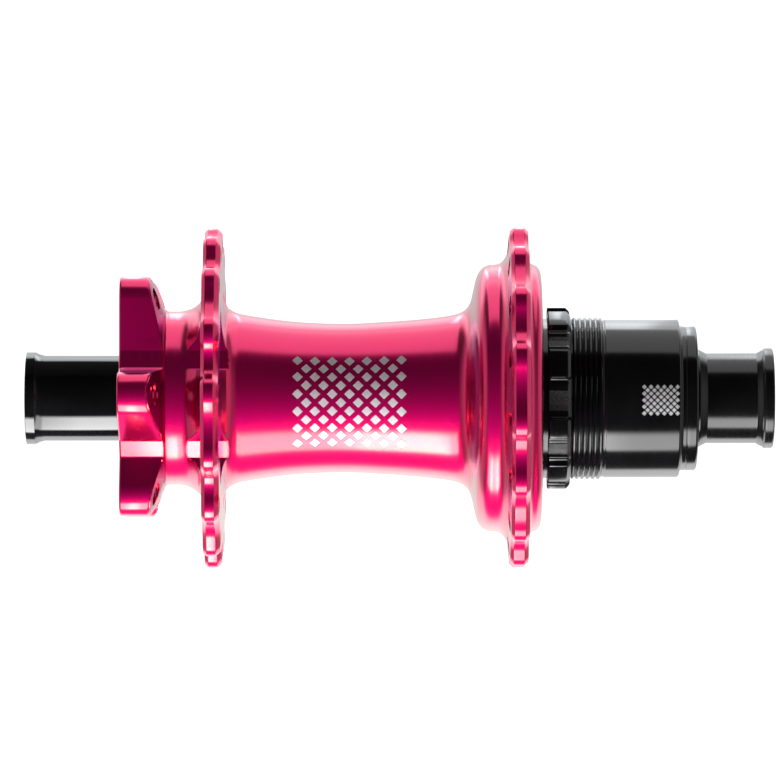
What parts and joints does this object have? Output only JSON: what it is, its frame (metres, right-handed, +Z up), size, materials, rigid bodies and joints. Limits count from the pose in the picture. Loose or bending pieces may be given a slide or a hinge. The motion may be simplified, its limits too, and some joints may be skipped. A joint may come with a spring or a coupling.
{
  "type": "bicycle rear hub",
  "caption": "Rear bicycle hub: anodised shell with scalloped spoke flanges and a disc mount, pawl freehub with a threaded driver, cartridge bearings and push-on end caps for a thru-axle.",
  "frame": {"origin": "on the hub axis, midway between the two end-cap faces", "axes": "+X along the hub axis towards the drive side, -X towards the disc side, +Z up"},
  "size_m": [0.148, 0.0676, 0.0676],
  "materials": {
    "pink_anodised": "bright magenta anodised",
    "black_anodised": "satin black anodised",
    "bearing_steel": "ground",
    "tool_steel": "hardened, oiled",
    "seal_rubber": "matt",
    "raw_aluminium": "turned"
  },
  "bodies": {
    "axle_group": {"axle": "raw_aluminium", "left_end_cap": "black_anodised", "right_end_cap": "black_anodised", "left_end_cap_o_ring": "seal_rubber", "right_end_cap_o_ring": "seal_rubber", "axle_step_spacer": "raw_aluminium", "freehub_bearing_spacer": "raw_aluminium", "left_shell_bearing_inner_race": "bearing_steel", "right_shell_bearing_inner_race": "bearing_steel", "inner_freehub_bearing_inner_race": "bearing_steel", "outer_freehub_bearing_inner_race": "bearing_steel"},
    "shell_group": {"hub_shell": "pink_anodised", "ratchet_ring": "tool_steel", "left_dust_shield": "seal_rubber", "left_shell_bearing_outer_race": "bearing_steel", "left_shell_bearing_left_seal": "seal_rubber", "left_shell_bearing_right_seal": "seal_rubber", "right_shell_bearing_outer_race": "bearing_steel", "right_shell_bearing_left_seal": "seal_rubber", "right_shell_bearing_right_seal": "seal_rubber"},
    "freehub_group": {"freehub_body": "black_anodised", "freehub_retaining_clip": "bearing_steel", "freehub_lip_seal": "seal_rubber", "inner_freehub_bearing_outer_race": "bearing_steel", "inner_freehub_bearing_left_seal": "seal_rubber", "inner_freehub_bearing_right_seal": "seal_rubber", "outer_freehub_bearing_outer_race": "bearing_steel", "outer_freehub_bearing_left_seal": "seal_rubber", "outer_freehub_bearing_right_seal": "seal_rubber", "pawl_spring_1": "bearing_steel", "pawl_spring_2": "bearing_steel", "pawl_spring_3": "bearing_steel", "pawl_spring_4": "bearing_steel", "pawl_spring_5": "bearing_steel", "pawl_spring_6": "bearing_steel"},
    "left_shell_cage": {"left_shell_bearing_ball_set": "bearing_steel"},
    "right_shell_cage": {"right_shell_bearing_ball_set": "bearing_steel"},
    "inner_freehub_cage": {"inner_freehub_bearing_ball_set": "bearing_steel"},
    "outer_freehub_cage": {"outer_freehub_bearing_ball_set": "bearing_steel"},
    "pawl_1_body": {"pawl_1": "tool_steel"},
    "pawl_2_body": {"pawl_2": "tool_steel"},
    "pawl_3_body": {"pawl_3": "tool_steel"},
    "pawl_4_body": {"pawl_4": "tool_steel"},
    "pawl_5_body": {"pawl_5": "tool_steel"},
    "pawl_6_body": {"pawl_6": "tool_steel"}
  },
  "joints": [
    {"name": "hub_shell_spin", "type": "hinge", "parent": "axle_group", "child": "shell_group", "pos_m": [0, 0, 0], "axis": [1, 0, 0], "continuous": true},
    {"name": "freehub_spin", "type": "hinge", "parent": "axle_group", "child": "freehub_group", "pos_m": [0.04, 0, 0], "axis": [1, 0, 0], "continuous": true},
    {"name": "left_shell_cage_spin", "type": "hinge", "parent": "axle_group", "child": "left_shell_cage", "pos_m": [-0.0508, 0, 0], "axis": [1, 0, 0], "continuous": true},
    {"name": "right_shell_cage_spin", "type": "hinge", "parent": "axle_group", "child": "right_shell_cage", "pos_m": [0.0165, 0, 0], "axis": [1, 0, 0], "continuous": true},
    {"name": "inner_freehub_cage_spin", "type": "hinge", "parent": "axle_group", "child": "inner_freehub_cage", "pos_m": [0.0239, 0, 0], "axis": [1, 0, 0], "continuous": true},
    {"name": "outer_freehub_cage_spin", "type": "hinge", "parent": "axle_group", "child": "outer_freehub_cage", "pos_m": [0.0551, 0, 0], "axis": [1, 0, 0], "continuous": true},
    {"name": "pawl_1_pivot", "type": "hinge", "parent": "freehub_group", "child": "pawl_1_body", "pos_m": [0.0239, -0.0129, 0.00745], "axis": [1, 0, 0], "range_deg": [0, 10], "stiffness_Nm_per_rad": 0.0035, "springref_deg": 25},
    {"name": "pawl_2_pivot", "type": "hinge", "parent": "freehub_group", "child": "pawl_2_body", "pos_m": [0.0239, 0, 0.0149], "axis": [1, 0, 0], "range_deg": [0, 10], "stiffness_Nm_per_rad": 0.0035, "springref_deg": 25},
    {"name": "pawl_3_pivot", "type": "hinge", "parent": "freehub_group", "child": "pawl_3_body", "pos_m": [0.0239, 0.0129, 0.00745], "axis": [1, 0, 0], "range_deg": [0, 10], "stiffness_Nm_per_rad": 0.0035, "springref_deg": 25},
    {"name": "pawl_4_pivot", "type": "hinge", "parent": "freehub_group", "child": "pawl_4_body", "pos_m": [0.0239, 0.0129, -0.00745], "axis": [1, 0, 0], "range_deg": [0, 10], "stiffness_Nm_per_rad": 0.0035, "springref_deg": 25},
    {"name": "pawl_5_pivot", "type": "hinge", "parent": "freehub_group", "child": "pawl_5_body", "pos_m": [0.0239, 0, -0.0149], "axis": [1, 0, 0], "range_deg": [0, 10], "stiffness_Nm_per_rad": 0.0035, "springref_deg": 25},
    {"name": "pawl_6_pivot", "type": "hinge", "parent": "freehub_group", "child": "pawl_6_body", "pos_m": [0.0239, -0.0129, -0.00745], "axis": [1, 0, 0], "range_deg": [0, 10], "stiffness_Nm_per_rad": 0.0035, "springref_deg": 25}
  ],
  "couplings": [
    {"joint": "left_shell_cage_spin", "follows": "hub_shell_spin", "ratio": 0.5809},
    {"joint": "right_shell_cage_spin", "follows": "hub_shell_spin", "ratio": 0.5809},
    {"joint": "inner_freehub_cage_spin", "follows": "freehub_spin", "ratio": 0.5615},
    {"joint": "outer_freehub_cage_spin", "follows": "freehub_spin", "ratio": 0.5615}
  ]
}
